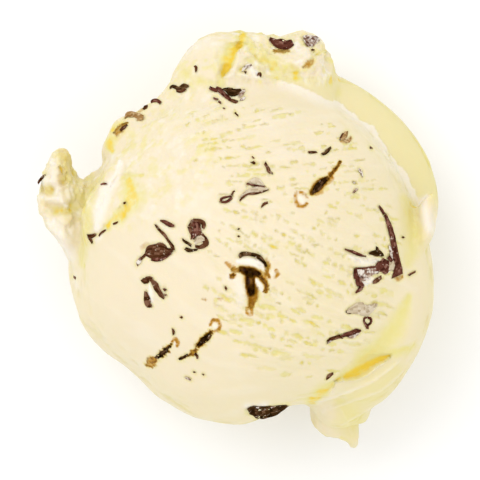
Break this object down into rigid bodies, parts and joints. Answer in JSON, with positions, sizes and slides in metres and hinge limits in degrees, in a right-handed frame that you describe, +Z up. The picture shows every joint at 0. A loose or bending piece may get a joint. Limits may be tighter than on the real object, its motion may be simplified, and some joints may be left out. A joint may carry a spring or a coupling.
{
  "type": "scoop of ice cream",
  "caption": "Single scoop of pale cream ice cream with dark chocolate flakes set in a dragged, pitted face; torn flaps round the rim; rests on a flat spot.",
  "frame": {"origin": "under the middle of the scoop's bounding box, on the surface it rests on", "axes": "+Z up through the dome, the scoop's shortest extent; +Y towards the cleft lobe at the back, its longest extent; +X towards the wrapping flap"},
  "size_m": [0.0726, 0.0752, 0.0498],
  "materials": {
    "ice_cream": "satin"
  },
  "bodies": {
    "root": {"scoop": "ice_cream"}
  },
  "joints": []
}
